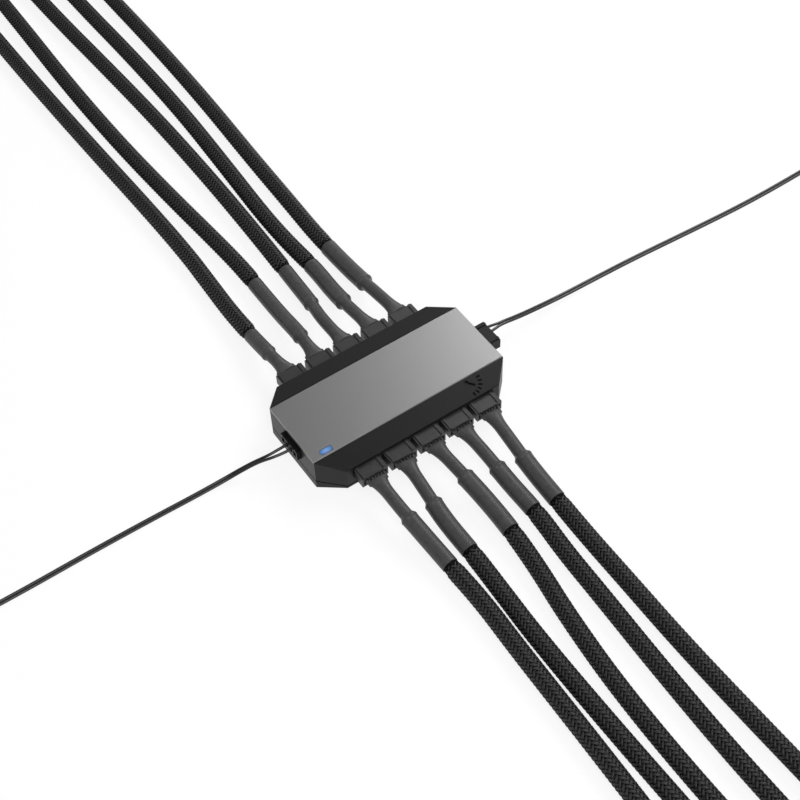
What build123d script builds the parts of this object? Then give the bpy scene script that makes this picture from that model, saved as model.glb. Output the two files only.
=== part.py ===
from build123d import *
from math import radians, tan
import os

# A ten-port fan controller hub with its leads plugged in, in millimetres.
# The origin is under the middle of the hub, where it rests. X runs along the hub and Z is up.

# Casing
hub_length = 83.0
hub_width = 46.8
hub_height = 15.6
shoulder_width = 8.4
corner_length = 8.0
shoulder_drop = 2.0
parting_height = 4.6
keel_drop = 1.6
wall = 1.8
lower_shell_step = 0.5
seam_height = 0.5
edge_fillet = 0.4
fit_gap = 0.15

# Top plate
plate_thickness = 1.0
plate_stand = 0.2
plate_bevel = 0.3

# Mounting pad
pad_from_screws = 2.5
pad_width = 24.0
pad_thickness = 1.0
pad_stand = 0.4

# Speed mark pressed into the near shoulder
mark_from_end = 18.1
mark_below_deck = 1.8
mark_depth = 0.8
mark_radius = 5.2
mark_ticks = 6
mark_sweep = 90.0
tick_length = 1.6
tick_width = 0.7
pointer_length = 3.4
pointer_width = 1.0

# Circuit board
board_thickness = 1.6
board_rise = 0.2
board_gap = 1.0
chip_size = (10.0, 6.2, 1.7)
chip_x = 8.0
chip_legs = 8
chip_leg_pitch = 1.1
chip_leg_size = (0.4, 1.1, 0.8)
capacitor_diameter = 6.3
capacitor_height = 5.6
capacitor_base = 6.6
capacitor_base_height = 1.2
capacitor_x = -11.0
capacitor_spacing = 8.0

# Status light
light_from_end = 6.5
light_from_edge = 2.2
light_length = 4.7
light_width = 2.0
light_corner = 0.5
light_flange = 0.5
light_flange_height = 0.8
led_length = 3.2
led_width = 1.5
led_height = 1.2
led_gap = 0.2

# Case screws, midway between the end plugs and the light
screw_from_end = 7.0
screw_shank = 2.0
screw_head = 4.0
screw_head_height = 1.3
screw_sink = 1.5
screw_length = 9.1
screw_drive_width = 0.6
screw_drive_length = 2.4
screw_drive_depth = 0.7
post_diameter = 3.8

# Four-pin plugs and headers
pins = 4
pin_pitch = 2.54
pin_size = 0.64
pin_reach = 5.5
pin_bend = 0.4
pin_tail = 0.6
plug_side_wall = 0.37
plug_height = 4.4
plug_length = 12.0
plug_rise = 3.3
plug_nose_chamfer = 0.4
plug_rib_width = 1.0
plug_rib_height = 0.4
plug_rib_inset = 0.7
plug_rib_setback = 1.0
wire_hole_wall = 0.64
wire_hole_height = 2.6
wire_hole_depth = 4.5
pin_hole = 1.2
latch_width = 1.1
latch_length = 1.9
latch_setback = 2.4
port_gap = 0.3
ports_per_side = 5
port_row_from_end = 10.25
fan_plug_reach = 5.6
signal_plug_reach = 1.6
power_plug_reach = 6.0
header_nose_gap = 0.5
header_depth = 5.0
header_rise = 2.2
header_tab_width = 6.0
header_tab_length = 4.0
header_tab_gap = 0.3

# Every cord bends on the largest arcs that leave this share of each straight run to a corner
corner_share = 0.45

# Fan leads: wires, heat shrink, sleeve and far socket
wire_diameter = 1.2
wire_insert = 3.0
neck_start = 1.2
neck_wall = 0.2
neck_flat_height = 2.5
neck_middle_width = 6.0
neck_middle_height = 3.4
neck_middle = 4.5
neck_round = 9.5
neck_diameter = 4.9
collar_diameter = 6.8
sleeve_diameter = 6.9
lead_straight = 13.1
far_collar_length = 16.0
far_neck_length = 8.0
socket_length = 14.0
socket_wall = 0.8
socket_depth = 7.5
socket_pin_reach = 6.0

# Each lead's heat shrink: distance from the plug to the collar's start and to its end
near_collars = [(20.0, 43.0), (20.5, 42.0), (17.5, 43.5), (22.0, 41.0), (22.5, 42.5)]
far_collars = [(12.8, 27.0), (12.6, 51.0), (30.0, 50.0), (22.0, 46.0), (26.0, 50.5)]

# Each lead's route after it has left its plug, as seen from above and down to the floor
near_routes = [
    [(-23.8, -56, 6.0), (-22.8, -72, 4.2), (-22.0, -90, 3.6), (-23.0, -110, 3.5), (-23.8, -142, 3.5),
     (-25.2, -184, 3.5), (-27.2, -231, 3.5), (-28.3, -279, 3.5), (-28.6, -327, 3.5)],
    [(-14.4, -56, 6.0), (-13.7, -72, 4.2), (-14.4, -90, 3.6), (-15.4, -110, 3.5), (-15.6, -142, 3.5),
     (-15.0, -184, 3.5), (-13.8, -231, 3.5), (-13.6, -279, 3.5), (-14.3, -327, 3.5)],
    [(2.6, -56, 6.0), (2.9, -72, 4.2), (1.2, -90, 3.6), (-2.0, -110, 3.5), (-5.2, -142, 3.5),
     (-6.0, -184, 3.5), (-4.2, -231, 3.5), (-1.4, -279, 3.5), (-0.2, -327, 3.5)],
    [(13.5, -56, 6.0), (14.5, -72, 4.2), (12.9, -90, 3.6), (12.2, -110, 3.5), (10.6, -142, 3.5),
     (9.4, -184, 3.5), (10.6, -231, 3.5), (12.8, -279, 3.5), (14.2, -327, 3.5)],
    [(23.6, -56, 6.0), (23.7, -72, 4.2), (23.2, -90, 3.6), (23.0, -110, 3.5), (22.4, -142, 3.5),
     (23.4, -184, 3.5), (25.0, -231, 3.5), (27.4, -279, 3.5), (28.6, -327, 3.5)],
]
far_routes = [
    [(-25.7, 56, 6.0), (-25.5, 72, 4.2), (-24.6, 90, 3.6), (-23.8, 110, 3.5), (-24.4, 142, 3.5),
     (-26.0, 184, 3.5), (-27.4, 231, 3.5), (-28.1, 279, 3.5), (-28.2, 327, 3.5)],
    [(-10.9, 56, 6.0), (-10.2, 72, 4.2), (-9.7, 90, 3.6), (-10.8, 110, 3.5), (-13.2, 142, 3.5),
     (-15.4, 184, 3.5), (-15.8, 231, 3.5), (-14.6, 279, 3.5), (-14.0, 327, 3.5)],
    [(1.8, 56, 6.0), (3.1, 72, 4.2), (4.1, 90, 3.6), (4.8, 110, 3.5), (5.4, 142, 3.5),
     (5.2, 184, 3.5), (3.4, 231, 3.5), (1.0, 279, 3.5), (0.2, 327, 3.5)],
    [(12.1, 56, 6.0), (13.5, 72, 4.2), (12.6, 90, 3.6), (12.6, 110, 3.5), (14.4, 142, 3.5),
     (16.4, 184, 3.5), (16.2, 231, 3.5), (14.6, 279, 3.5), (14.2, 327, 3.5)],
    [(24.2, 56, 6.0), (24.3, 72, 4.2), (24.3, 90, 3.6), (25.2, 110, 3.5), (26.2, 142, 3.5),
     (28.2, 184, 3.5), (29.0, 231, 3.5), (28.4, 279, 3.5), (28.4, 327, 3.5)],
]

# Signal and power cords: a pair of thin wires each
cord_diameter = 2.3
cord_straight = 5.5
signal_exit_y = 0.0
power_exit_y = pin_pitch
signal_route = [
    (-55.2, 3.0, 7.0), (-61.0, 5.4, 3.6), (-68.0, 6.8, 1.5), (-79.0, 7.2, 1.25), (-97.0, 7.6, 1.25),
    (-121.0, 7.8, 1.25), (-147.0, 7.5, 1.25), (-172.0, 7.5, 1.25),
]
power_route = [
    (62.0, 2.9, 7.3), (73.0, 4.1, 4.3), (85.5, 5.1, 2.1), (101.0, 5.5, 1.25), (121.0, 4.9, 1.25),
    (148.0, 3.2, 1.25), (180.0, 1.5, 1.25), (212.0, 1.5, 1.25),
]
coil_diameter = 25.0
coil_section = 5.0
coil_tail = 18.0

# Drive-power plug at the power cord's far end
drive_plug_width = 25.0
drive_plug_height = 5.0
drive_plug_length = 11.0
drive_boot_width = 20.0
drive_boot_height = 4.2
drive_boot_length = 6.0
drive_slot_width = 20.8
drive_slot_height = 1.5
drive_slot_depth = 6.5
drive_key_width = 1.4
drive_key_height = 2.4

# Sizes, heights and places worked out from the sizes above
deck_width = hub_width - 2 * shoulder_width
port_pitch = (hub_length - 2 * port_row_from_end) / ports_per_side
deck_top = hub_height - plate_stand
plate_seat = hub_height - plate_thickness
shoulder_height = deck_top - shoulder_drop
keel_height = parting_height - keel_drop
cavity_floor = pad_stand + wall
cavity_ceiling = deck_top - wall
board_bottom = parting_height + board_rise
board_top = board_bottom + board_thickness
led_top = board_top + led_height
screw_head_top = pad_stand + screw_sink
screw_tip = screw_head_top + screw_length
plug_middle = board_top + plug_rise
plug_width = pins * pin_pitch + 2 * plug_side_wall
half_height = plug_height / 2
wire_hole_width = pin_pitch - wire_hole_wall
neck_flat_width = (pins - 1) * pin_pitch + wire_diameter + 2 * neck_wall
socket_width = plug_width + 2 * port_gap + 2 * socket_wall
socket_height = plug_height + plug_rib_height + 2 * port_gap + 2 * socket_wall

end_x = hub_length / 2
side_y = hub_width / 2
deck_y = deck_width / 2
light_x = light_from_end - end_x
light_y = light_from_edge - deck_y
light_inner_y = deck_y - light_from_edge - light_width / 2 - light_flange
screw_spacing_x = hub_length - 2 * screw_from_end
screw_spacing_y = plug_width / 2 + light_inner_y
pad_length = screw_spacing_x - screw_head - 2 * pad_from_screws

# The casing's outline from the end: flat deck, sloped shoulders, upright sides and keel
section_corners = [
    (-deck_y, pad_stand), (deck_y, pad_stand), (side_y, keel_height), (side_y, shoulder_height),
    (deck_y, deck_top), (-deck_y, deck_top), (-side_y, shoulder_height), (-side_y, keel_height),
]


def plan_corners(step=0.0):
    """The casing's outline from above, a rectangle with cut corners, its walls set in by a step."""
    x = end_x - step
    y = side_y - step
    cut_x = end_x - corner_length
    return [
        (x, -deck_y), (x, deck_y), (cut_x, y), (-cut_x, y),
        (-x, deck_y), (-x, -deck_y), (-cut_x, -y), (cut_x, -y),
    ]


def hub_body(inset=0.0):
    """The casing as one block, with every face drawn in by an inset."""
    with BuildPart() as body:
        with BuildSketch(Plane.YZ):
            Polygon(*section_corners, align=None)
            if inset:
                offset(amount=-inset, kind=Kind.INTERSECTION)
        extrude(amount=hub_length, both=True)
        with BuildSketch():
            Polygon(*plan_corners(), align=None)
            if inset:
                offset(amount=-inset, kind=Kind.INTERSECTION)
        extrude(amount=hub_height, mode=Mode.INTERSECT)
    return body.part


def edges_between(shell, low, high):
    """A shell's edges that lie between two heights, without those on either."""
    return shell.edges().filter_by(lambda edge: low < round(edge.center().Z, 3) < high)


def port_plane(x, y, outward):
    """A plane on the casing's wall at a port, its normal outward and its Y axis up."""
    out = Vector(*outward)
    return Plane(origin=(x, y, plug_middle), x_dir=Vector(0, 0, 1).cross(out), z_dir=out)


def nose_plane(port, reach):
    """The plane of a plug's nose, for a plug that stands out of its port by reach."""
    return port.offset(reach - plug_length)


port_places = [(step - (ports_per_side - 1) / 2) * port_pitch for step in range(ports_per_side)]
near_ports = [port_plane(x, -side_y, (0, -1, 0)) for x in port_places]
far_ports = [port_plane(x, side_y, (0, 1, 0)) for x in port_places]
signal_port = port_plane(-end_x, 0, (-1, 0, 0))
power_port = port_plane(end_x, 0, (1, 0, 0))
fan_ports = near_ports + far_ports
plugged_ports = [(port, fan_plug_reach) for port in fan_ports]
plugged_ports += [(signal_port, signal_plug_reach), (power_port, power_plug_reach)]
noses = [nose_plane(port, reach) for port, reach in plugged_ports]

mark_height = deck_top - mark_below_deck * shoulder_drop / shoulder_width
shoulder_plane = Plane(
    origin=(end_x - mark_from_end, -deck_y - mark_below_deck, mark_height),
    x_dir=(1, 0, 0),
    z_dir=(0, -shoulder_drop, shoulder_width),
)

cavity = hub_body(inset=wall)
pieces = {}


with BuildPart() as header_pins:
    for nose in noses:
        leg = header_nose_gap + header_depth + pin_bend
        with BuildSketch(nose.offset(-leg)):
            with GridLocations(pin_pitch, 0, pins, 1):
                Rectangle(pin_size, pin_size)
        extrude(amount=leg + pin_reach)
        foot = board_bottom - pin_tail - plug_middle
        with BuildSketch(nose.offset(-leg)):
            with Locations((0, (foot + pin_size / 2) / 2)):
                with GridLocations(pin_pitch, 0, pins, 1):
                    Rectangle(pin_size, pin_size / 2 - foot)
        extrude(amount=-pin_size)
pieces["header_pins"] = header_pins


with BuildPart() as port_headers:
    for nose in noses:
        header_low = board_top - plug_middle
        with BuildSketch(nose.offset(-header_nose_gap)):
            with Locations((0, (header_low + header_rise) / 2)):
                Rectangle(plug_width, header_rise - header_low)
        extrude(amount=-header_depth)
        tab_height = -half_height - header_tab_gap - header_low
        with BuildSketch(nose.offset(-header_nose_gap)):
            with Locations((0, header_low + tab_height / 2)):
                Rectangle(header_tab_width, tab_height)
        extrude(amount=header_nose_gap + header_tab_length)
    add(header_pins.part, mode=Mode.SUBTRACT)
pieces["port_headers"] = port_headers


with BuildPart() as circuit_board:
    with BuildSketch(Plane.XY.offset(board_bottom)):
        Polygon(*plan_corners(), align=None)
        offset(amount=-(wall + board_gap), kind=Kind.INTERSECTION)
        with GridLocations(screw_spacing_x, screw_spacing_y, 2, 2):
            Circle(screw_shank / 2 + fit_gap, mode=Mode.SUBTRACT)
    extrude(amount=board_thickness)
    add(header_pins.part, mode=Mode.SUBTRACT)
pieces["circuit_board"] = circuit_board


with BuildPart() as driver_chip:
    chip_length, chip_width, chip_height = chip_size
    leg_width, leg_length, leg_height = chip_leg_size
    with Locations((chip_x, 0, board_top)):
        Box(chip_length, chip_width, chip_height, align=(Align.CENTER, Align.CENTER, Align.MIN))
        with GridLocations(chip_leg_pitch, chip_width + leg_length, chip_legs, 2):
            Box(leg_width, leg_length, leg_height, align=(Align.CENTER, Align.CENTER, Align.MIN))
pieces["driver_chip"] = driver_chip


with BuildPart() as buffer_capacitors:
    with BuildSketch(Plane.XY.offset(board_top)):
        with Locations((capacitor_x, 0)):
            with GridLocations(capacitor_spacing, 0, 2, 1):
                Rectangle(capacitor_base, capacitor_base)
    extrude(amount=capacitor_base_height)
    with BuildSketch(Plane.XY.offset(board_top)):
        with Locations((capacitor_x, 0)):
            with GridLocations(capacitor_spacing, 0, 2, 1):
                Circle(capacitor_diameter / 2)
    extrude(amount=capacitor_height)
pieces["buffer_capacitors"] = buffer_capacitors


with BuildPart() as status_led:
    with Locations((light_x, light_y, board_top)):
        Box(led_length, led_width, led_height, align=(Align.CENTER, Align.CENTER, Align.MIN))
pieces["status_led"] = status_led


with BuildPart() as light_pipe:
    with BuildSketch(Plane.XY.offset(led_top + led_gap)):
        with Locations((light_x, light_y)):
            RectangleRounded(light_length, light_width, light_corner)
    extrude(amount=hub_height - led_top - led_gap)
    with BuildSketch(Plane.XY.offset(cavity_ceiling - light_flange_height)):
        with Locations((light_x, light_y)):
            RectangleRounded(light_length + 2 * light_flange, light_width + 2 * light_flange,
                             light_corner + light_flange)
    extrude(amount=light_flange_height)
pieces["light_pipe"] = light_pipe


with BuildPart() as light_slot:
    with BuildSketch(Plane.XY.offset(cavity_ceiling)):
        with Locations((light_x, light_y)):
            RectangleRounded(light_length + 2 * fit_gap, light_width + 2 * fit_gap,
                             light_corner + fit_gap)
    extrude(amount=hub_height - cavity_ceiling)


with BuildPart() as top_plate:
    with BuildSketch(Plane.XY.offset(plate_seat)):
        Rectangle(hub_length, deck_width - 2 * fit_gap)
    extrude(amount=plate_thickness)
    chamfer(top_plate.faces().sort_by(Axis.Z)[-1].edges(), length=plate_bevel)
    add(light_slot.part, mode=Mode.SUBTRACT)
pieces["top_plate"] = top_plate


with BuildPart() as top_cover:
    add(hub_body())
    split(bisect_by=Plane.XY.offset(parting_height), keep=Keep.TOP)
    fillet(edges_between(top_cover, parting_height, deck_top), radius=edge_fillet)
    add(cavity, mode=Mode.SUBTRACT)
    with BuildSketch(Plane.XY.offset(board_top)):
        with GridLocations(screw_spacing_x, screw_spacing_y, 2, 2):
            Circle(post_diameter / 2)
    extrude(amount=cavity_ceiling - board_top)
    with BuildSketch(Plane.XY.offset(board_top)):
        with GridLocations(screw_spacing_x, screw_spacing_y, 2, 2):
            Circle(screw_shank / 2)
    extrude(amount=screw_tip - board_top, mode=Mode.SUBTRACT)
    with BuildSketch(Plane.XY.offset(plate_seat)):
        Rectangle(hub_length, deck_width)
    extrude(amount=plate_thickness, mode=Mode.SUBTRACT)
    add(light_slot.part, mode=Mode.SUBTRACT)
    for port, reach in plugged_ports:
        with BuildSketch(port):
            with Locations((0, plug_rib_height / 2)):
                Rectangle(plug_width + 2 * port_gap, plug_height + plug_rib_height + 2 * port_gap)
        extrude(amount=reach - plug_length, mode=Mode.SUBTRACT)
    with BuildSketch(shoulder_plane):
        with PolarLocations(mark_radius, mark_ticks, start_angle=-mark_sweep, angular_range=mark_sweep,
                            endpoint=True):
            Rectangle(tick_length, tick_width)
        with PolarLocations(pointer_length / 2, 1, start_angle=-mark_sweep / 2):
            Rectangle(pointer_length, pointer_width)
        Circle(pointer_width)
    extrude(amount=-mark_depth, mode=Mode.SUBTRACT)
pieces["top_cover"] = top_cover


with BuildPart() as bottom_shell:
    add(hub_body())
    split(bisect_by=Plane.XY.offset(parting_height), keep=Keep.BOTTOM)
    fillet(edges_between(bottom_shell, pad_stand, parting_height), radius=min(edge_fillet, keel_drop / 2))
    with BuildSketch(Plane.XY.offset(parting_height - seam_height)):
        Rectangle(2 * hub_length, 2 * hub_width)
        Polygon(*plan_corners(lower_shell_step), align=None, mode=Mode.SUBTRACT)
    extrude(amount=seam_height, mode=Mode.SUBTRACT)
    add(cavity, mode=Mode.SUBTRACT)
    with BuildSketch(Plane.XY.offset(cavity_floor)):
        with GridLocations(screw_spacing_x, screw_spacing_y, 2, 2):
            Circle(post_diameter / 2)
    extrude(amount=board_bottom - cavity_floor)
    with Locations(Plane(origin=(0, 0, pad_stand), z_dir=(0, 0, -1))):
        with GridLocations(screw_spacing_x, screw_spacing_y, 2, 2):
            CounterBoreHole(
                radius=screw_shank / 2 + fit_gap,
                counter_bore_radius=screw_head / 2 + fit_gap,
                counter_bore_depth=screw_sink,
                depth=board_bottom - pad_stand,
            )
    with BuildSketch(Plane.XY.offset(pad_stand)):
        Rectangle(pad_length + 2 * fit_gap, pad_width + 2 * fit_gap)
    extrude(amount=pad_thickness - pad_stand, mode=Mode.SUBTRACT)
pieces["bottom_shell"] = bottom_shell


with BuildPart() as mounting_pad:
    Box(pad_length, pad_width, pad_thickness, align=(Align.CENTER, Align.CENTER, Align.MIN))
    fillet(mounting_pad.edges().filter_by(Axis.Z), radius=pad_thickness)
pieces["mounting_pad"] = mounting_pad


with BuildPart() as case_screws:
    head_low = screw_head_top - screw_head_height
    with BuildSketch(Plane.XY.offset(head_low)):
        with GridLocations(screw_spacing_x, screw_spacing_y, 2, 2):
            Circle(screw_head / 2)
    extrude(amount=screw_head_height)
    with BuildSketch(Plane.XY.offset(screw_head_top)):
        with GridLocations(screw_spacing_x, screw_spacing_y, 2, 2):
            Circle(screw_shank / 2)
    extrude(amount=screw_length)
    with BuildSketch(Plane.XY.offset(head_low)):
        with GridLocations(screw_spacing_x, screw_spacing_y, 2, 2):
            Rectangle(screw_drive_length, screw_drive_width)
            Rectangle(screw_drive_width, screw_drive_length)
    extrude(amount=screw_drive_depth, mode=Mode.SUBTRACT)
pieces["case_screws"] = case_screws


def plug_housing(nose):
    """A four-pin plug whose nose lies on the given plane, with its wires leaving along the normal."""
    middle_low = (Align.CENTER, Align.CENTER, Align.MIN)
    with BuildPart(nose) as plug:
        Box(plug_width, plug_height, plug_length, align=middle_low)
        chamfer(plug.faces().sort_by(Axis(nose.origin, nose.z_dir))[0].edges(), length=plug_nose_chamfer)
        rib_x = plug_width / 2 - plug_rib_inset - plug_rib_width / 2
        with Locations((-rib_x, half_height, plug_rib_setback), (rib_x, half_height, plug_rib_setback)):
            Box(plug_rib_width, plug_rib_height, plug_length - plug_rib_setback,
                align=(Align.CENTER, Align.MIN, Align.MIN))
        with GridLocations(pin_pitch, 0, pins, 1):
            Box(pin_hole, pin_hole, plug_length, align=middle_low, mode=Mode.SUBTRACT)
        with Locations((0, 0, plug_length - wire_hole_depth)):
            with GridLocations(pin_pitch, 0, pins, 1):
                Box(wire_hole_width, wire_hole_height, wire_hole_depth, align=middle_low,
                    mode=Mode.SUBTRACT)
        with Locations((0, 0, plug_length - latch_setback - latch_length)):
            with GridLocations(pin_pitch, 0, pins, 1):
                Box(latch_width, half_height, latch_length,
                    align=(Align.CENTER, Align.MAX, Align.MIN), mode=Mode.SUBTRACT)
    return plug


def corner_radii(points):
    """The largest arc that each corner's two runs leave room for."""
    radii = []
    for before, corner, after in zip(points, points[1:], points[2:]):
        arriving = Vector(*corner) - Vector(*before)
        leaving = Vector(*after) - Vector(*corner)
        turn = radians(arriving.get_angle(leaving))
        radii.append(corner_share * min(arriving.length, leaving.length) / tan(turn / 2))
    return radii


def route_wire(points):
    """Straight runs joined by tangent arcs through the given corners."""
    with BuildLine() as route:
        FilletPolyline(*points, radius=corner_radii(points))
    return route.wire()


def cross_plane(path, distance):
    """The plane across a route at a distance along it, its Y axis as near up as it can be."""
    place = distance / path.length
    along = path % place
    return Plane(origin=path @ place, x_dir=Vector(0, 0, 1).cross(along), z_dir=along)


def stretch(path, start, end):
    """The part of a route between two distances along it."""
    return path.trim(start / path.length, min(1.0, end / path.length))


def tube(path, diameter):
    """A plain round tube along a route."""
    with BuildPart() as round_tube:
        with BuildSketch(cross_plane(path, 0)):
            Circle(diameter / 2)
        sweep(path=path)
    return round_tube


def heat_shrink(path, collar_start, collar_end):
    """Four wires out of a plug, the flat neck that gathers them, and the collar on the sleeve."""
    with BuildPart() as shrink:
        with BuildSketch(cross_plane(path, 0).offset(-wire_insert)):
            with GridLocations(pin_pitch, 0, pins, 1):
                Circle(wire_diameter / 2)
        extrude(amount=wire_insert + neck_start)
        with BuildSketch(cross_plane(path, neck_start)):
            Ellipse(neck_flat_width / 2, neck_flat_height / 2)
        with BuildSketch(cross_plane(path, neck_middle)):
            Ellipse(neck_middle_width / 2, neck_middle_height / 2)
        with BuildSketch(cross_plane(path, neck_round)):
            Circle(neck_diameter / 2)
        loft()
        with BuildSketch(cross_plane(path, neck_round)):
            Circle(neck_diameter / 2)
        sweep(path=stretch(path, neck_round, collar_start))
        with BuildSketch(cross_plane(path, collar_start)):
            Circle(collar_diameter / 2)
        sweep(path=stretch(path, collar_start, collar_end))
    return shrink


def far_socket(path):
    """The collar, the neck and the four-pin socket at a lead's far end."""
    end = cross_plane(path, path.length)
    with BuildPart() as socket:
        collar_start = path.length - far_neck_length - far_collar_length
        with BuildSketch(cross_plane(path, collar_start)):
            Circle(collar_diameter / 2)
        sweep(path=stretch(path, collar_start, path.length - far_neck_length))
        with BuildSketch(end.offset(-far_neck_length)):
            Circle(neck_diameter / 2)
        with BuildSketch(end):
            Ellipse(neck_flat_width / 2, neck_flat_height / 2)
        loft()
        with BuildSketch(end):
            Rectangle(socket_width, socket_height)
        extrude(amount=socket_length)
        with BuildSketch(end.offset(socket_length)):
            Rectangle(socket_width - 2 * socket_wall, socket_height - 2 * socket_wall)
        extrude(amount=-socket_depth, mode=Mode.SUBTRACT)
        with BuildSketch(end.offset(socket_length - socket_depth)):
            with GridLocations(pin_pitch, 0, pins, 1):
                Rectangle(pin_size, pin_size)
        extrude(amount=socket_pin_reach)
    return socket


def leaving_points(port, reach, straight, sideways=0.0):
    """A route's first two points: at the plug's back, and straight out from it."""
    back = port.offset(reach).from_local_coords((sideways, 0, 0))
    return [tuple(back), tuple(back + port.z_dir * straight)]


lead_routes = near_routes + far_routes
lead_collars = near_collars + far_collars
for number, (port, route, collar) in enumerate(zip(fan_ports, lead_routes, lead_collars), start=1):
    path = route_wire(leaving_points(port, fan_plug_reach, lead_straight) + route)
    collar_start, collar_end = collar
    sleeve_end = path.length - far_neck_length - far_collar_length
    pieces[f"fan_plug_{number}"] = plug_housing(nose_plane(port, fan_plug_reach))
    pieces[f"heat_shrink_{number}"] = heat_shrink(path, collar_start, collar_end)
    pieces[f"fan_lead_{number}"] = tube(stretch(path, collar_end, sleeve_end), sleeve_diameter)
    pieces[f"lead_socket_{number}"] = far_socket(path)
    print("lead", number, "length", round(path.length, 1))


def coil(middle, wind):
    """A tied coil: a ring with the tail that arrives along X and the tail that leaves along -Y.

    The arriving tail lies on the ring's far or near side as wind is 1 or -1.
    """
    x, y, arriving, leaving = middle
    ring = coil_diameter / 2
    with BuildPart() as wound:
        with BuildSketch(Plane(origin=(x, y, 0), x_dir=(1, 0, 0), z_dir=(0, -1, 0))):
            with Locations((ring, coil_section / 2)):
                RectangleRounded(coil_section, coil_section, cord_diameter / 2)
        revolve(axis=Axis((x, y, 0), (0, 0, 1)))
        with BuildSketch(Plane(origin=(x, y + ring, arriving), z_dir=(wind, 0, 0))):
            Circle(cord_diameter / 2)
        extrude(amount=coil_tail)
        with BuildSketch(Plane(origin=(x - wind * ring, y, leaving), z_dir=(0, -1, 0))):
            Circle(cord_diameter / 2)
        extrude(amount=coil_tail)
    return wound


def drive_plug(back):
    """The flat drive-power plug, its boot on the given plane and its slot facing along the normal."""
    middle_low = (Align.CENTER, Align.CENTER, Align.MIN)
    with BuildPart(back) as plug:
        Box(drive_boot_width, drive_boot_height, drive_boot_length, align=middle_low)
        with Locations((0, 0, drive_boot_length)):
            Box(drive_plug_width, drive_plug_height, drive_plug_length, align=middle_low)
        with Locations((0, 0, drive_boot_length + drive_plug_length - drive_slot_depth)):
            Box(drive_slot_width, drive_slot_height, drive_slot_depth, align=middle_low,
                mode=Mode.SUBTRACT)
        key_x = (drive_slot_width - drive_key_width) / 2
        with Locations((key_x, 0, drive_boot_length + drive_plug_length - drive_slot_depth)):
            Box(drive_key_width, drive_key_height, drive_slot_depth,
                align=(Align.CENTER, Align.MIN, Align.MIN), mode=Mode.SUBTRACT)
    return plug


pieces["signal_inlet_plug"] = plug_housing(nose_plane(signal_port, signal_plug_reach))
signal_points = leaving_points(signal_port, signal_plug_reach, cord_straight, signal_exit_y)
signal_path = route_wire(signal_points + signal_route)
pieces["signal_cord"] = tube(signal_path, cord_diameter)
signal_x, signal_y, signal_z = signal_route[-1]
signal_coil_x = signal_x - coil_tail
signal_coil_y = signal_y - coil_diameter / 2
pieces["signal_coil"] = coil((signal_coil_x, signal_coil_y, signal_z, half_height), 1)
signal_end = Plane(
    origin=(signal_coil_x - coil_diameter / 2, signal_coil_y - coil_tail - plug_length, half_height),
    x_dir=(-1, 0, 0), z_dir=(0, 1, 0),
)
pieces["signal_plug"] = plug_housing(signal_end)

pieces["power_inlet_plug"] = plug_housing(nose_plane(power_port, power_plug_reach))
power_points = leaving_points(power_port, power_plug_reach, cord_straight, power_exit_y)
power_path = route_wire(power_points + power_route)
pieces["power_cord"] = tube(power_path, cord_diameter)
power_x, power_y, power_z = power_route[-1]
power_coil_x = power_x + coil_tail
power_coil_y = power_y - coil_diameter / 2
drive_middle = drive_plug_height / 2
pieces["power_coil"] = coil((power_coil_x, power_coil_y, power_z, drive_middle), -1)
drive_end = Plane(
    origin=(power_coil_x + coil_diameter / 2, power_coil_y - coil_tail, drive_middle),
    x_dir=(1, 0, 0), z_dir=(0, -1, 0),
)
pieces["power_plug"] = drive_plug(drive_end)
print("signal cord to its coil", round(signal_path.length, 1))
print("power cord to its coil", round(power_path.length, 1))

os.makedirs("parts", exist_ok=True)
for name, piece in pieces.items():
    piece.part.label = name
    export_step(piece.part, f"parts/{name}.step")
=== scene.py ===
import math

import bpy
import numpy as np
from mathutils import Matrix, Vector


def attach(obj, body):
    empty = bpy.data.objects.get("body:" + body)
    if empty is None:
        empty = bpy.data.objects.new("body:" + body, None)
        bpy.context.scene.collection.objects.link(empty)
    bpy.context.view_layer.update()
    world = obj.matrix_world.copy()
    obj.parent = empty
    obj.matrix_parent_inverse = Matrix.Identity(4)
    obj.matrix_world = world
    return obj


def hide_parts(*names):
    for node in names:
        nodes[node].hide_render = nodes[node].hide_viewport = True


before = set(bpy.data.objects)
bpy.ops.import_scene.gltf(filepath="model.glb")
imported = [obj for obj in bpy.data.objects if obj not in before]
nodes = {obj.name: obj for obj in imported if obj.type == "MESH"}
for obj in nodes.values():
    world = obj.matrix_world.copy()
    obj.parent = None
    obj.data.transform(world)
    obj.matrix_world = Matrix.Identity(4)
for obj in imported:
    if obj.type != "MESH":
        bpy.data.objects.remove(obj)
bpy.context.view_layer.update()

# The looks of a ten-port fan hub and its leads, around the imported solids. Lengths are in metres.
MM = 0.001
scene = bpy.context.scene
scene.view_settings.view_transform = "Standard"

# Camera, fitted to the photograph
EYE = Vector((-188.167, -304.922, 466.685)) * MM
CAMERA_RIGHT = Vector((0.82454325, -0.56511202, -0.02787171))
CAMERA_UP = Vector((0.46105899, 0.64253626, 0.61202269))
CAMERA_BACK = Vector((-0.3279528, -0.51748968, 0.79034891))
FOCAL_PIXELS = 1575.53
IMAGE_PIXELS = 800
SENSOR_MM = 36.0

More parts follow.
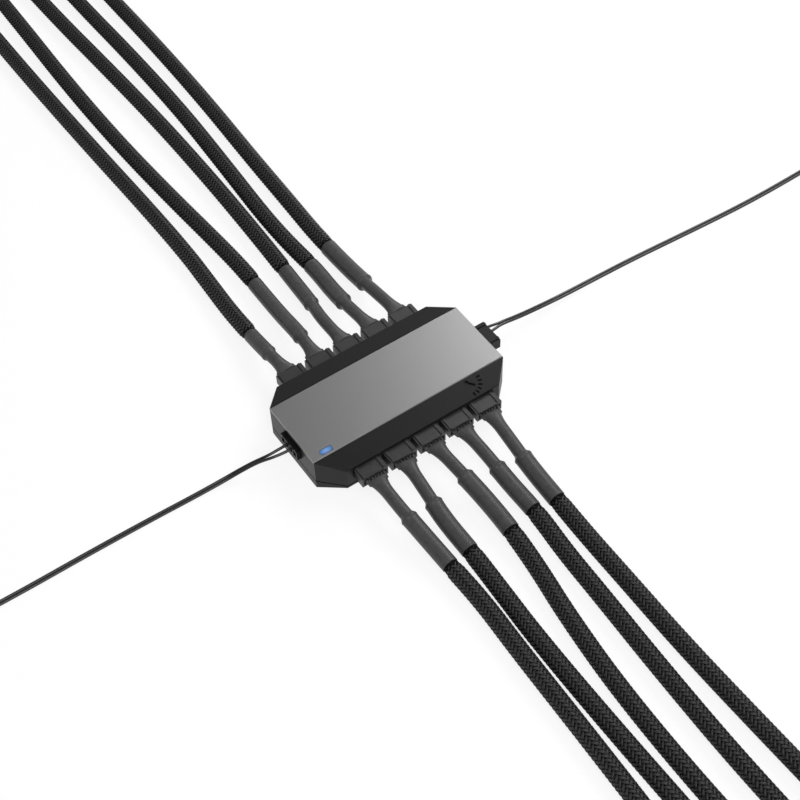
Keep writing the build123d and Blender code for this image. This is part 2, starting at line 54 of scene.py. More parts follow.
# Fan leads
SLEEVE_RADIUS = 3.45 * MM
NECK_RADIUS = 2.4 * MM
NECK_FLAT = (4.1 * MM, 1.25 * MM)
NECK_START = 1.0 * MM
NECK_ROUND = 9.5 * MM
LEAD_WIRE_RADIUS = 0.6 * MM
FAR_NECK = 8.0 * MM
FAR_COLLAR = 16.0 * MM
PLUG_BACK_Y = 29.0
PLUG_MIDDLE_Z = 9.7
STRAIGHT = 13.1
PIN_PITCH = 2.54
LEAD_PLACES = (-25.0, -12.5, 0.0, 12.5, 25.0)
ROUTE_Y = (56, 72, 90, 110, 142, 184, 231, 279, 327)
ROUTE_Z = (6.0, 4.2, 3.6, 3.5, 3.5, 3.5, 3.5, 3.5, 3.5)
NEAR_TURN_X = (-25.4, -13.8, 0.6, 12.8, 23.7)
FAR_TURN_X = (-26.3, -11.7, -0.8, 11.1, 24.0)
NEAR_X = (
    (-23.8, -22.8, -22.0, -23.0, -23.8, -25.2, -27.2, -28.3, -28.6),
    (-14.4, -13.7, -14.4, -15.4, -15.6, -15.0, -13.8, -13.6, -14.3),
    (2.6, 2.9, 1.2, -2.0, -5.2, -6.0, -4.2, -1.4, -0.2),
    (13.5, 14.5, 12.9, 12.2, 10.6, 9.4, 10.6, 12.8, 14.2),
    (23.6, 23.7, 23.2, 23.0, 22.4, 23.4, 25.0, 27.4, 28.6),
)
FAR_X = (
    (-25.7, -25.5, -24.6, -23.8, -24.4, -26.0, -27.4, -28.1, -28.2),
    (-10.9, -10.2, -9.7, -10.8, -13.2, -15.4, -15.8, -14.6, -14.0),
    (1.8, 3.1, 4.1, 4.8, 5.4, 5.2, 3.4, 1.0, 0.2),
    (12.1, 13.5, 12.6, 12.6, 14.4, 16.4, 16.2, 14.6, 14.2),
    (24.2, 24.3, 24.3, 25.2, 26.2, 28.2, 29.0, 28.4, 28.4),
)

# Each lead's heat shrink: where its collar starts and ends, and the collar's radius
NEAR_COLLARS = (
    (19.5, 43.0, 3.15), (19.5, 42.0, 3.3), (17.0, 43.5, 3.35), (20.0, 41.0, 3.25), (21.5, 42.5, 3.35),
)
FAR_COLLARS = (
    (12.0, 27.0, 2.95), (12.0, 51.0, 3.05), (26.0, 50.0, 3.0), (18.0, 46.0, 3.3), (22.5, 50.5, 3.4),
)
STEP_BEFORE = 1.2 * MM
STEP_AFTER = 1.6 * MM
STEP_LENGTH = 1.8 * MM
LIP_PLACE = 1.0 * MM
LIP_LENGTH = 0.5 * MM
LIP_RISE = 0.12 * MM
END_ROUND = 0.10 * MM
END_INSIDE = 0.6 * MM
RIPPLE = 0.05 * MM
WIRE_LOBES = 0.06 * MM
NECK_SQUARENESS = 0.9
GATHER_POWER = 2.5
WIRE_STATIONS = (-3.0 * MM, -1.0 * MM, NECK_START + 1.6 * MM)
WIRE_DRAW_IN = (1.0, 1.0, 0.86)
SLEEVE_UNDER = 3.0 * MM
CORE_UNDER = 0.5 * MM

# Braid: strands each way, and how far apart along the sleeve the stitches of one row lie
CARRIERS = 12
STITCH = 1.75 * MM
STITCH_SAMPLES = 4
STRAND_HALF_WIDTH = 0.40 * MM
STRAND_CROWN = 0.22 * MM
STRAND_WAVE = 0.19 * MM
CORE_RADIUS = 2.95 * MM
SLEEVE_SWELL = 4.0 * MM
COLLAR_WALL = 0.2 * MM

# White sweep under and round the hub: radius and height of each ring
SWEEP = ((5.0, 0.0), (5.9, 0.12), (6.6, 0.6), (6.9, 1.4), (7.0, 3.2))
SWEEP_WHITE = 0.95
SWEEP_SHOWN = 0.85
WORLD_STRENGTH = 0.35

# Lamps: name, place, what it points at, size of the square and power
LAMPS = (
    ("key", (0.40, 0.30, 0.42), (0.03, 0.0, 0.0), 0.22, 1.0),
    ("top", (-0.20, -0.70, 0.90), (0.0, 0.0, 0.0), 0.7, 7.0),
    ("side", (0.75, 0.05, 0.9), (0.0, 0.0, 0.0), 0.5, 5.0),
    ("back", (0.85, 0.9, 0.55), (0.0, 0.0, 0.0), 0.5, 0.4),
)

# Signal and power cords: a pair of wires that lies flat
WIRE_RADIUS = 0.56 * MM
COIL_RADIUS = 12.5
COIL_TURN = 1170.0
COIL_STEPS = 44
COIL_LANE = 1.15
COIL_LAYER = 1.2
WIRE_REST = 0.62
TIE_SIDES = (-1.5, -1.3, 1.3, 1.5)
TIE_HALF_WIDTH = 2.55
TIE_HALF_HEIGHT = 1.2
TIE_MIDDLE = 1.25
TIE_ANGLE = 270.0
SIGNAL_GATHER = 13.0 * MM
POWER_GATHER = 6.5 * MM
END_GATHER = 6.5 * MM
SIGNAL_START = ((-43.1, 0.0, 9.7), (-48.9, 0.0, 9.7))
SIGNAL_ROUTE = (
    (-55.2, 3.0, 7.0), (-61.0, 5.4, 3.6), (-68.0, 6.8, 1.2), (-79.0, 7.2, 0.62), (-97.0, 7.6, 0.62),
    (-121.0, 7.8, 0.62), (-147.0, 7.5, 0.62), (-172.0, 7.9, 0.62),
)
SIGNAL_COIL = (-190.0, -5.0)
SIGNAL_END = (-202.5, -23.0, 2.2)
POWER_START = ((47.5, 2.54, 9.7), (53.0, 2.54, 9.7))
POWER_ROUTE = (
    (62.0, 2.9, 7.3), (73.0, 4.1, 4.3), (85.5, 5.1, 1.8), (101.0, 5.5, 0.62), (121.0, 4.9, 0.62),
    (148.0, 3.2, 0.62), (180.0, 1.5, 0.62), (212.0, 1.9, 0.62),
)
POWER_COIL = (230.0, -11.0)
POWER_END = (242.5, -29.0, 2.5)


def add_camera():
    data = bpy.data.cameras.new("camera")
    data.sensor_width = SENSOR_MM
    data.lens = FOCAL_PIXELS / IMAGE_PIXELS * SENSOR_MM
    data.clip_start = 0.01
    camera = bpy.data.objects.new("camera", data)
    scene.collection.objects.link(camera)
    turn = Matrix((CAMERA_RIGHT, CAMERA_UP, CAMERA_BACK)).transposed()
    camera.matrix_world = Matrix.Translation(EYE) @ turn.to_4x4()
    scene.camera = camera


def in_metres(points):
    return [tuple(value * MM for value in point) for point in points]


def smooth_step(x):
    x = np.clip(x, 0.0, 1.0)
    return x * x * (3 - 2 * x)


class Route:
    """A smooth line through a route's control points, read from a NURBS curve with no bevel."""

    def __init__(self, points, resolution=20):
        data = bpy.data.curves.new("route", "CURVE")
        data.dimensions = "3D"
        data.resolution_u = resolution
        spline = data.splines.new("NURBS")
        spline.points.add(len(points) - 1)
        for point, place in zip(spline.points, points):
            point.co = (*place, 1.0)
        spline.order_u = 3
        spline.use_endpoint_u = True
        holder = bpy.data.objects.new("route", data)
        scene.collection.objects.link(holder)
        mesh = bpy.data.meshes.new_from_object(holder)
        line = np.array([vertex.co for vertex in mesh.vertices], float)
        bpy.data.objects.remove(holder)
        bpy.data.meshes.remove(mesh)
        bpy.data.curves.remove(data)
        step = np.linalg.norm(np.diff(line, axis=0), axis=1)
        line = line[np.concatenate(([True], step > 1e-7))]
        step = np.linalg.norm(np.diff(line, axis=0), axis=1)
        self.line = line
        self.along = np.concatenate(([0.0], np.cumsum(step)))
        self.length = float(self.along[-1])
        self.tangents = np.gradient(line, self.along, axis=0)

    def at(self, distance):
        """Places, directions, level sideways directions and upward ones at distances along the line."""
        distance = np.asarray(distance, float)
        inside = np.clip(distance, 0.0, self.length)
        place = np.stack([np.interp(inside, self.along, self.line[:, k]) for k in range(3)], axis=-1)
        forward = np.stack([np.interp(inside, self.along, self.tangents[:, k]) for k in range(3)], axis=-1)
        forward /= np.linalg.norm(forward, axis=-1, keepdims=True)
        place = place + forward * (distance - inside)[..., None]
        side = np.cross((0.0, 0.0, 1.0), forward)
        side /= np.linalg.norm(side, axis=-1, keepdims=True)
        return place, forward, side, np.cross(forward, side)


def new_piece(name, vertices, faces, material, uvs=None):
    """A smooth-shaded mesh object that rides on the hub."""
    mesh = bpy.data.meshes.new(name)
    mesh.from_pydata(np.asarray(vertices).tolist(), [], faces)
    mesh.shade_smooth()
    if uvs is not None:
        layer = mesh.uv_layers.new(name="UVMap")
        corners = np.empty(len(mesh.loops), np.int32)
        mesh.loops.foreach_get("vertex_index", corners)
        layer.uv.foreach_set("vector", np.asarray(uvs, np.float32)[corners].ravel())
    mesh.materials.append(material)
    piece = bpy.data.objects.new(name, mesh)
    scene.collection.objects.link(piece)
    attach(piece, "root")
    return piece


def ring_faces(rings, around, first=0, caps=True):
    """Quads between rings of vertices, with the two ends closed."""
    faces = []
    for ring in range(rings - 1):
        low = first + ring * around
        high = low + around
        for k in range(around):
            after = (k + 1) % around
            faces.append((low + k, low + after, high + after, high + k))
    if caps:
        faces.append(tuple(range(first + around - 1, first - 1, -1)))
        last = first + (rings - 1) * around
        faces.append(tuple(range(last, last + around)))
    return faces


def ribbon_faces(rows, across, first):
    """Quads of a ribbon, outer side up, from rows of vertices that lie across it."""
    faces = []
    for row in range(rows - 1):
        low = first + row * across
        high = low + across
        faces += [(low + k, low + k + 1, high + k + 1, high + k) for k in range(across - 1)]
    return faces


def node_material(name, base, roughness, metallic=0.0, specular=0.5):
    """A new material with its shader, and the node tree to add detail to."""
    material = bpy.data.materials.new(name)
    material.use_nodes = True
    tree = material.node_tree
    shader = tree.nodes["Principled BSDF"]
    shader.inputs["Base Color"].default_value = (*base, 1.0)
    shader.inputs["Roughness"].default_value = roughness
    shader.inputs["Metallic"].default_value = metallic
    shader.inputs["Specular IOR Level"].default_value = specular
    return material, tree, shader


def link(tree, output, target):
    tree.links.new(output, target)


def add_grain(tree, shader, scale, colours, roughness, bump, distance):
    """Noise in an object's own coordinates that varies the colour, the roughness and the surface."""
    coordinates = tree.nodes.new("ShaderNodeTexCoord")
    noise = tree.nodes.new("ShaderNodeTexNoise")
    noise.inputs["Scale"].default_value = scale
    noise.inputs["Detail"].default_value = 4.0
    link(tree, coordinates.outputs["Object"], noise.inputs["Vector"])
    ramp = tree.nodes.new("ShaderNodeValToRGB")
    ramp.color_ramp.elements[0].position = 0.3
    ramp.color_ramp.elements[1].position = 0.7
    ramp.color_ramp.elements[0].color = (*colours[0], 1.0)
    ramp.color_ramp.elements[1].color = (*colours[1], 1.0)
    link(tree, noise.outputs["Fac"], ramp.inputs["Fac"])
    link(tree, ramp.outputs["Color"], shader.inputs["Base Color"])
    spread = tree.nodes.new("ShaderNodeMapRange")
    spread.inputs["From Min"].default_value = 0.3
    spread.inputs["From Max"].default_value = 0.7
    spread.inputs["To Min"].default_value = roughness[0]
    spread.inputs["To Max"].default_value = roughness[1]
    link(tree, noise.outputs["Fac"], spread.inputs["Value"])
    link(tree, spread.outputs["Result"], shader.inputs["Roughness"])
    surface = tree.nodes.new("ShaderNodeBump")
    surface.inputs["Strength"].default_value = bump
    surface.inputs["Distance"].default_value = distance
    link(tree, noise.outputs["Fac"], surface.inputs["Height"])
    link(tree, surface.outputs["Normal"], shader.inputs["Normal"])


def grained(name, dark, light, roughness, scale, bump, distance=0.0001, metallic=0.0, specular=0.5):
    material, tree, shader = node_material(name, light, roughness[0], metallic, specular)
    add_grain(tree, shader, scale, (dark, light), roughness, bump, distance)
    return material


def strands_with_painted_shade(name, under, over, roughness):
    """Strands with painted shade: their base colour turns near black where the UV map says they pass under
    others, with a fine noise bump over them.
    """
    material, tree, shader = node_material(name, over, roughness, specular=0.18)
    coordinates = tree.nodes.new("ShaderNodeTexCoord")
    parts = tree.nodes.new("ShaderNodeSeparateXYZ")
    link(tree, coordinates.outputs["UV"], parts.inputs["Vector"])
    ramp = tree.nodes.new("ShaderNodeValToRGB")
    ramp.color_ramp.elements[0].position = 0.35
    ramp.color_ramp.elements[1].position = 0.85
    ramp.color_ramp.elements[0].color = (*under, 1.0)
    ramp.color_ramp.elements[1].color = (*over, 1.0)
    link(tree, parts.outputs["Y"], ramp.inputs["Fac"])
    link(tree, ramp.outputs["Color"], shader.inputs["Base Color"])
    noise = tree.nodes.new("ShaderNodeTexNoise")
    noise.inputs["Scale"].default_value = 2200.0
    link(tree, coordinates.outputs["Object"], noise.inputs["Vector"])
    surface = tree.nodes.new("ShaderNodeBump")
    surface.inputs["Strength"].default_value = 0.3
    surface.inputs["Distance"].default_value = 0.0001
    link(tree, noise.outputs["Fac"], surface.inputs["Height"])
    link(tree, surface.outputs["Normal"], shader.inputs["Normal"])
    return material


def painted_glow(name, middle, rim, roughness):
    """A bar with painted glow: its base colour is pale in the middle of the piece's own box and deeper
    towards its ends, with no light of its own.
    """
    material, tree, shader = node_material(name, middle, roughness)
    coordinates = tree.nodes.new("ShaderNodeTexCoord")
    away = tree.nodes.new("ShaderNodeVectorMath")
    away.operation = "DISTANCE"
    away.inputs[1].default_value = (0.5, 0.5, 1.0)
    link(tree, coordinates.outputs["Generated"], away.inputs[0])
    ramp = tree.nodes.new("ShaderNodeValToRGB")
    ramp.color_ramp.elements[0].position = 0.1
    ramp.color_ramp.elements[1].position = 0.42
    ramp.color_ramp.elements[0].color = (*middle, 1.0)
    ramp.color_ramp.elements[1].color = (*rim, 1.0)
    link(tree, away.outputs["Value"], ramp.inputs["Fac"])
    link(tree, ramp.outputs["Color"], shader.inputs["Base Color"])
    return material


def grey(value):
    return (value, value, value)


casing_plastic = grained(
    "casing_plastic", grey(0.006), grey(0.009), (0.34, 0.42), 2500.0, 0.12, 0.00006, specular=0.16)
plate_metal = grained(
    "plate_metal", grey(0.235), grey(0.255), (0.36, 0.42), 1800.0, 0.04, 0.00004, metallic=1.0)
plug_plastic = grained(
    "plug_plastic", grey(0.014), grey(0.022), (0.36, 0.46), 1500.0, 0.2, 0.00008, specular=0.4)
inlet_plastic = grained(
    "inlet_plastic", grey(0.005), grey(0.008), (0.36, 0.46), 1500.0, 0.2, 0.00008, specular=0.16)
shrink_tube = grained(
    "shrink_tube", grey(0.046), grey(0.058), (0.34, 0.40), 500.0, 0.06, 0.0001, specular=0.2)
wire_skin = grained("wire_skin", grey(0.008), grey(0.012), (0.22, 0.3), 1200.0, 0.08, 0.00005)
# The strands' base colour holds painted shade: near black where a strand dips under the others, lighter
# where it lies over them.
braid_strand_painted_shade = strands_with_painted_shade("braid_strand_painted_shade", grey(0.002), grey(0.030), 0.40)
# The core is the dark filling under the braid; its near-black colour, darker than the wires, is also
# painted shade seen through the gaps between strands.
braid_core_and_gap_shade = grained(
    "braid_core_and_gap_shade", grey(0.002), grey(0.004), (0.7, 0.8), 900.0, 0.2, 0.0001, specular=0.05)
# Painted glow for the light pipe: pale blue base colour in the middle, deeper blue towards the ends.
painted_glow_blue = painted_glow("painted_glow_blue", (0.16, 0.31, 0.60), (0.05, 0.16, 0.40), 0.25)
board_laminate = grained(
    "board_laminate", (0.01, 0.03, 0.02), (0.02, 0.05, 0.03), (0.35, 0.5), 600.0, 0.1)
pin_gold = grained(
    "pin_gold", (0.75, 0.55, 0.2), (0.85, 0.66, 0.3), (0.25, 0.35), 1500.0, 0.05, metallic=1.0)
can_metal = grained("can_metal", grey(0.5), grey(0.62), (0.28, 0.4), 900.0, 0.05, metallic=1.0)
chip_epoxy = grained("chip_epoxy", grey(0.012), grey(0.02), (0.5, 0.6), 1800.0, 0.2)
led_clear = grained("led_clear", (0.6, 0.7, 0.85), (0.75, 0.82, 0.92), (0.15, 0.2), 800.0, 0.02)
screw_black = grained("screw_black", grey(0.05), grey(0.09), (0.35, 0.5), 1500.0, 0.1, metallic=1.0)
pad_foam = grained("pad_foam", grey(0.02), grey(0.045), (0.8, 0.95), 1400.0, 0.6, 0.0003)


def dress(material, *names):
    """Gives CAD nodes a material in every slot."""
    for name in names:
        slots = nodes[name].material_slots
        if slots:
            for place in slots:
                place.material = material
        else:
            nodes[name].data.materials.append(material)


dress(casing_plastic, "top_cover", "bottom_shell")
dress(plate_metal, "top_plate")
dress(painted_glow_blue, "light_pipe")
dress(board_laminate, "circuit_board")
dress(pin_gold, "header_pins")
dress(can_metal, "buffer_capacitors")
dress(chip_epoxy, "driver_chip", "port_headers")
dress(led_clear, "status_led")
dress(screw_black, "case_screws")
dress(pad_foam, "mounting_pad")
dress(inlet_plastic, "signal_inlet_plug", "power_inlet_plug", "signal_plug", "power_plug")
for number in range(1, 11):
    dress(plug_plastic, f"fan_plug_{number}", f"lead_socket_{number}")


def braided_sleeve(route, start, end, collar_end, collar_radius):
    """Crowned ribbons that wind both ways round a core, over two and under two.

    The UV map holds the place across a strand, and its lift from under the others to over them, which the
    strand material turns into painted shade.
    """
    count = int((end - start) / STITCH * STITCH_SAMPLES) + 1
    distance = np.linspace(start, end, count)
    place, _, side, up = route.at(distance)
    swell = smooth_step((distance - collar_end) / SLEEVE_SWELL)
    covered = collar_radius - COLLAR_WALL
    outer = covered + (SLEEVE_RADIUS - covered) * swell
    middle = outer - STRAND_WAVE - STRAND_CROWN
    lean = math.atan(2 * math.pi * SLEEVE_RADIUS / (CARRIERS * STITCH))
    reach = STRAND_HALF_WIDTH / math.cos(lean) / SLEEVE_RADIUS
    shapes = ((-1.0, 0.0), (0.0, STRAND_CROWN), (1.0, 0.0))
    ring_points = count * len(shapes)
    vertices, faces, uvs = [], [], []
    for direction in (1, -1):
        for carrier in range(CARRIERS):
            first = len(vertices) * ring_points
            column = 2 * carrier + direction * 2 * distance / STITCH
            lift = direction * np.cos(math.pi / 2 * (column - 0.5))
            ring = np.empty((count, len(shapes), 3))
            flat = np.empty((count, len(shapes), 2))
            for k, (across, rise) in enumerate(shapes):
                spin = math.pi * column / CARRIERS + across * reach
                out = np.cos(spin)[:, None] * side + np.sin(spin)[:, None] * up
                ring[:, k] = place + out * (middle + lift * STRAND_WAVE + rise)[:, None]
                flat[:, k, 0] = (across + 1) / 2
                # The lift in V is the mask for the strands' painted shade.
                flat[:, k, 1] = (lift + 1) / 2
            vertices.append(ring.reshape(-1, 3))
            uvs.append(flat.reshape(-1, 2))
            faces += ribbon_faces(count, len(shapes), first)
    return np.concatenate(vertices), faces, np.concatenate(uvs)


def tube_mesh(route, distance, radius, around, first=0):
    place, _, side, up = route.at(distance)
    spin = np.arange(around) * 2 * math.pi / around
    radius = np.broadcast_to(np.asarray(radius, float), (len(distance),))
    out = np.cos(spin)[None, :, None] * side[:, None, :] + np.sin(spin)[None, :, None] * up[:, None, :]
    ring = place[:, None, :] + out * radius[:, None, None]
    return ring.reshape(-1, 3), ring_faces(len(distance), around, first)


def shrink_mesh(route, collar_start, collar_end, collar_radius):
    """Four wires, the flat neck that gathers them, a lip, and the collar with the braid showing through."""
    around = 32
    tip = collar_end - 0.3 * MM
    stations = np.concatenate((
        np.linspace(NECK_START, NECK_ROUND, 26, endpoint=False),
        np.linspace(NECK_ROUND, collar_start - STEP_BEFORE, 10, endpoint=False),
        np.linspace(collar_start - STEP_BEFORE, collar_start + STEP_AFTER, 14, endpoint=False),
        np.linspace(collar_start + STEP_AFTER, tip, 64, endpoint=False),
        np.array([tip, collar_end - 0.1 * MM, collar_end, collar_end]),
    ))
    place, _, side, up = route.at(stations)
    spin = np.arange(around) * 2 * math.pi / around
    gathered = np.clip((stations - NECK_START) / (NECK_ROUND - NECK_START), 0.0, 1.0)
    gather = 1 - (1 - gathered) ** GATHER_POWER
    wide = NECK_FLAT[0] + (NECK_RADIUS - NECK_FLAT[0]) * gather
    high = NECK_FLAT[1] + (NECK_RADIUS - NECK_FLAT[1]) * gather
    swell = smooth_step((stations - collar_start) / STEP_LENGTH + 0.5)
    wide = wide + (collar_radius - NECK_RADIUS) * swell
    high = high + (collar_radius - NECK_RADIUS) * swell
    lip = np.exp(-((stations - collar_start - LIP_PLACE) / LIP_LENGTH) ** 2) * LIP_RISE
    ends = np.zeros(len(stations))
    ends[-2] = -END_ROUND
    ends[-1] = -END_INSIDE
    cos, sin = np.cos(spin), np.sin(spin)
    x = np.sign(cos) * np.abs(cos) ** NECK_SQUARENESS
    y = np.sign(sin) * np.abs(sin) ** NECK_SQUARENESS
    in_collar = smooth_step((stations - collar_start - STEP_AFTER) / (2.0 * MM))
    in_collar = in_collar * (stations < collar_end - 0.2 * MM)
    lattice = (np.cos(2 * math.pi * stations[:, None] / STITCH + CARRIERS * spin[None, :])
               * np.cos(2 * math.pi * stations[:, None] / STITCH - CARRIERS * spin[None, :]))
    ripple = RIPPLE * in_collar[:, None] * lattice
    lobes = np.cos(4 * math.pi * np.clip(x, -1, 1))[None, :] * WIRE_LOBES * (1 - gather)[:, None]
    grow = (lip + ends)[:, None] + ripple
    flat_x = x[None, :] * wide[:, None] + cos[None, :] * grow
    flat_y = y[None, :] * high[:, None] + sin[None, :] * (grow + lobes)
    ring = place[:, None, :] + flat_x[..., None] * side[:, None, :] + flat_y[..., None] * up[:, None, :]
    vertices = [ring.reshape(-1, 3)]
    faces = ring_faces(len(stations), around)
    first = len(vertices[0])
    wire_around = 12
    wire_ends = np.array(WIRE_STATIONS)
    place, _, side, up = route.at(wire_ends)
    spin = np.arange(wire_around) * 2 * math.pi / wire_around
    draw_in = np.array(WIRE_DRAW_IN)
    for pin in range(4):
        centre = place + side * draw_in[:, None] * (pin - 1.5) * PIN_PITCH * MM
        out = np.cos(spin)[None, :, None] * side[:, None, :] + np.sin(spin)[None, :, None] * up[:, None, :]
        wire = centre[:, None, :] + out * LEAD_WIRE_RADIUS
        vertices.append(wire.reshape(-1, 3))
        faces += ring_faces(len(wire_ends), wire_around, first)
        first += len(vertices[-1])
    return np.concatenate(vertices), faces


def add_lead(number, x, sign, turn_x, xs, collar):
    """One fan lead: its shrink and its sleeve, along a route on one side of the hub."""
    turn_y = PLUG_BACK_Y + STRAIGHT
    points = [(x, sign * PLUG_BACK_Y, PLUG_MIDDLE_Z), (turn_x, sign * turn_y, PLUG_MIDDLE_Z)]
    points += [(px, sign * py, pz) for px, py, pz in zip(xs, ROUTE_Y, ROUTE_Z)]
    route = Route(in_metres(points))
    collar_start, collar_end, collar_radius = (value * MM for value in collar)
    vertices, faces = shrink_mesh(route, collar_start, collar_end, collar_radius)
    shrink = new_piece(f"shrink_{number}", vertices, faces, shrink_tube)
    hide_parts(f"heat_shrink_{number}")
    start = collar_end - SLEEVE_UNDER
    end = route.length - FAR_NECK - FAR_COLLAR + SLEEVE_UNDER
    vertices, faces, uvs = braided_sleeve(route, start, end, collar_end, collar_radius)
    core_line = np.linspace(collar_start + CORE_UNDER, end, 170)
    covered = collar_radius - COLLAR_WALL
    swell = smooth_step((core_line - collar_end) / SLEEVE_SWELL)
    core_radius = covered + (CORE_RADIUS - covered) * swell
    core, core_faces = tube_mesh(route, core_line, core_radius, 16, len(vertices))
    sleeve = new_piece(
        f"sleeve_{number}", np.concatenate((vertices, core)), faces + core_faces, braid_strand_painted_shade,
        np.concatenate((uvs, np.zeros((len(core), 2)))),
    )
    # Second slot: the core, whose near-black colour is partly painted shade for the gaps in the braid.
    sleeve.data.materials.append(braid_core_and_gap_shade)
    inner = np.zeros(len(sleeve.data.polygons), np.int32)
    inner[len(faces):] = 1
    sleeve.data.polygons.foreach_set("material_index", inner)
    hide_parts(f"fan_lead_{number}")
    path = route.at(core_line)[0]


def coil_points(middle, wind):
    """Three and a quarter turns in two layers, from the far side of the ring to its outer side."""
    points = []
    for k in range(COIL_STEPS + 1):
        turned = COIL_TURN * k / COIL_STEPS
        inward = float(smooth_step((turned - 260.0) / 100.0))
        climb = float(smooth_step((turned - 570.0) / 80.0))
        outward = float(smooth_step((turned - 760.0) / 240.0))
        radius = COIL_RADIUS + COIL_LANE * (1 - 2 * inward + 2 * outward)
        angle = math.radians(90.0 + turned)
        x = middle[0] + wind * radius * math.cos(angle)
        y = middle[1] + radius * math.sin(angle)
        points.append((x, y, WIRE_REST + COIL_LAYER * climb))
    return points


def pair_mesh(route, pin_spread, exit_gather):
    """Two wires side by side, further apart where they leave a plug's pins."""
    around = 12
    count = int(route.length / (0.9 * MM))
    distance = np.linspace(-2.5 * MM, route.length + 1.5 * MM, count)
    place, _, side, up = route.at(distance)
    spin = np.arange(around) * 2 * math.pi / around
    out = np.cos(spin)[None, :, None] * side[:, None, :] + np.sin(spin)[None, :, None] * up[:, None, :]
    apart = WIRE_RADIUS * 1.02
    apart = apart + (pin_spread - apart) * (1 - smooth_step(distance / exit_gather))
    apart = apart + (pin_spread - apart) * smooth_step((distance - route.length) / END_GATHER + 1)
    vertices, faces, first = [], [], 0
    for sign in (-1, 1):
        centre = place + side * (sign * apart)[:, None]
        ring = centre[:, None, :] + out * WIRE_RADIUS
        vertices.append(ring.reshape(-1, 3))
        faces += ring_faces(count, around, first)
        first += len(vertices[-1])
    return np.concatenate(vertices), faces


def coil_tie(name, middle, angle_degrees):
    """A band round the turns of a coil."""
    angle = math.radians(angle_degrees)
    out = np.array((math.cos(angle), math.sin(angle), 0.0))
    along = np.array((-math.sin(angle), math.cos(angle), 0.0))
    centre = np.array((middle[0], middle[1], TIE_MIDDLE)) * MM + out * COIL_RADIUS * MM
    around = 24
    spin = np.arange(around) * 2 * math.pi / around
    x = np.sign(np.cos(spin)) * np.abs(np.cos(spin)) ** 0.5
    y = np.sign(np.sin(spin)) * np.abs(np.sin(spin)) ** 0.5
    sections = [(width, 0.35 if abs(width) < 1.4 else 0.2) for width in TIE_SIDES]
    sections += [(width, 0.0) for width in reversed(TIE_SIDES)]
    rings = []
    for width, grow in sections:
        across = (TIE_HALF_WIDTH + grow) * x
        height = np.maximum((TIE_HALF_HEIGHT + grow) * y, -TIE_HALF_HEIGHT)
        rings.append(centre + (across[:, None] * out + height[:, None] * np.array((0, 0, 1.0))
                               + width * along) * MM)
    vertices = np.concatenate(rings)
    faces = ring_faces(len(rings), around, caps=False)
    last = (len(rings) - 1) * around
    faces += [(last + k, last + (k + 1) % around, (k + 1) % around, k) for k in range(around)]
    return new_piece(name, vertices, faces, plug_plastic)


def add_cord(name, start, route_points, coil, wind, end, exit_gather, replaced):
    """A pair of wires from a plug in the hub, along its route and round its tied coil, to its far plug."""
    tail = coil_points(coil, wind)
    leave_x = tail[-1][0]
    points = list(start) + list(route_points) + tail
    points += [(leave_x, coil[1] - 7.0, 1.8), ((leave_x + end[0]) / 2, end[1] + 8.0, end[2]), end]
    route = Route(in_metres(points))
    vertices, faces = pair_mesh(route, PIN_PITCH / 2 * MM, exit_gather)
    cord = new_piece(name, vertices, faces, wire_skin)
    tie = coil_tie(name + "_tie", coil, TIE_ANGLE)
    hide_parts(*replaced)


add_camera()
for k, x in enumerate(LEAD_PLACES):
    add_lead(k + 1, x, -1, NEAR_TURN_X[k], NEAR_X[k], NEAR_COLLARS[k])
    add_lead(k + 6, x, 1, FAR_TURN_X[k], FAR_X[k], FAR_COLLARS[k])
add_cord("signal_wires", SIGNAL_START, SIGNAL_ROUTE, SIGNAL_COIL, 1, SIGNAL_END, SIGNAL_GATHER,
         ("signal_cord", "signal_coil"))
add_cord("power_wires", POWER_START, POWER_ROUTE, POWER_COIL, -1, POWER_END, POWER_GATHER,
         ("power_cord", "power_coil"))


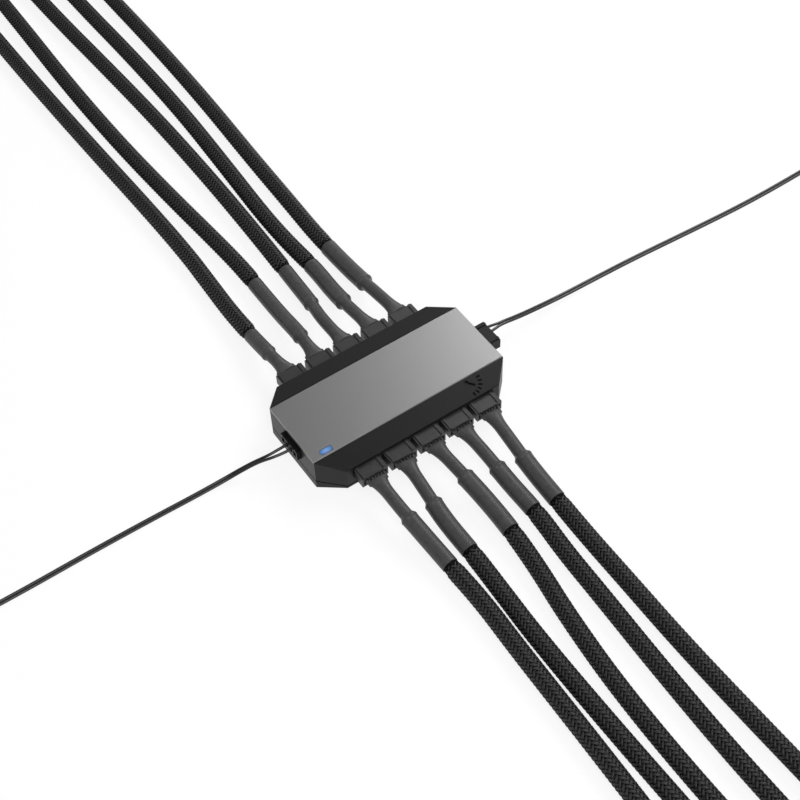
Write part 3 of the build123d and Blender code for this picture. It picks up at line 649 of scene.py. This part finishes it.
def add_floor():
    """A round white sweep: a level floor that turns up into a low wall far from the hub."""
    mesh = bpy.data.meshes.new("floor")
    around = 96
    spin = np.arange(around) * 2 * math.pi / around
    rings = [np.stack((radius * np.cos(spin), radius * np.sin(spin), np.full(around, height)), axis=-1)
             for radius, height in SWEEP]
    faces = ring_faces(len(rings), around, caps=False) + [tuple(range(around))]
    mesh.from_pydata(np.concatenate(rings).tolist(), [], faces)
    floor = bpy.data.objects.new("floor", mesh)
    scene.collection.objects.link(floor)
    material = bpy.data.materials.new("floor_white")
    material.use_nodes = True
    tree = material.node_tree
    shader = tree.nodes["Principled BSDF"]
    shader.inputs["Base Color"].default_value = (SWEEP_WHITE, SWEEP_WHITE, SWEEP_WHITE, 1.0)
    shader.inputs["Roughness"].default_value = 0.9
    shader.inputs["Specular IOR Level"].default_value = 0.0
    glow = tree.nodes.new("ShaderNodeEmission")
    glow.inputs["Color"].default_value = (1.0, 1.0, 1.0, 1.0)
    glow.inputs["Strength"].default_value = 1.0
    share = tree.nodes.new("ShaderNodeMath")
    share.operation = "MULTIPLY"
    share.inputs[1].default_value = SWEEP_SHOWN
    link(tree, shown_rays(tree), share.inputs[0])
    mix = tree.nodes.new("ShaderNodeMixShader")
    link(tree, share.outputs[0], mix.inputs[0])
    link(tree, shader.outputs[0], mix.inputs[1])
    link(tree, glow.outputs[0], mix.inputs[2])
    link(tree, mix.outputs[0], tree.nodes["Material Output"].inputs["Surface"])
    mesh.materials.append(material)


def shown_rays(tree):
    """One for rays from the camera, and for reflected and refracted ones, and nought for the rest."""
    path = tree.nodes.new("ShaderNodeLightPath")
    both = tree.nodes.new("ShaderNodeMath")
    both.operation = "MAXIMUM"
    link(tree, path.outputs["Is Camera Ray"], both.inputs[0])
    link(tree, path.outputs["Is Glossy Ray"], both.inputs[1])
    every = tree.nodes.new("ShaderNodeMath")
    every.operation = "MAXIMUM"
    link(tree, both.outputs[0], every.inputs[0])
    link(tree, path.outputs["Is Transmission Ray"], every.inputs[1])
    return every.outputs[0]


def add_world():
    world = bpy.data.worlds.new("studio")
    world.use_nodes = True
    scene.world = world
    tree = world.node_tree
    soft = tree.nodes["Background"]
    soft.inputs["Color"].default_value = (1.0, 1.0, 1.0, 1.0)
    soft.inputs["Strength"].default_value = WORLD_STRENGTH


def add_lamp(name, place, target, size, power):
    data = bpy.data.lights.new(name, "AREA")
    data.shape = "SQUARE"
    data.size = size
    data.energy = power
    lamp = bpy.data.objects.new(name, data)
    lamp.location = place
    lamp.rotation_euler = (Vector(target) - Vector(place)).to_track_quat("-Z", "Y").to_euler()
    scene.collection.objects.link(lamp)


add_floor()
add_world()
for lamp in LAMPS:
    add_lamp(*lamp)
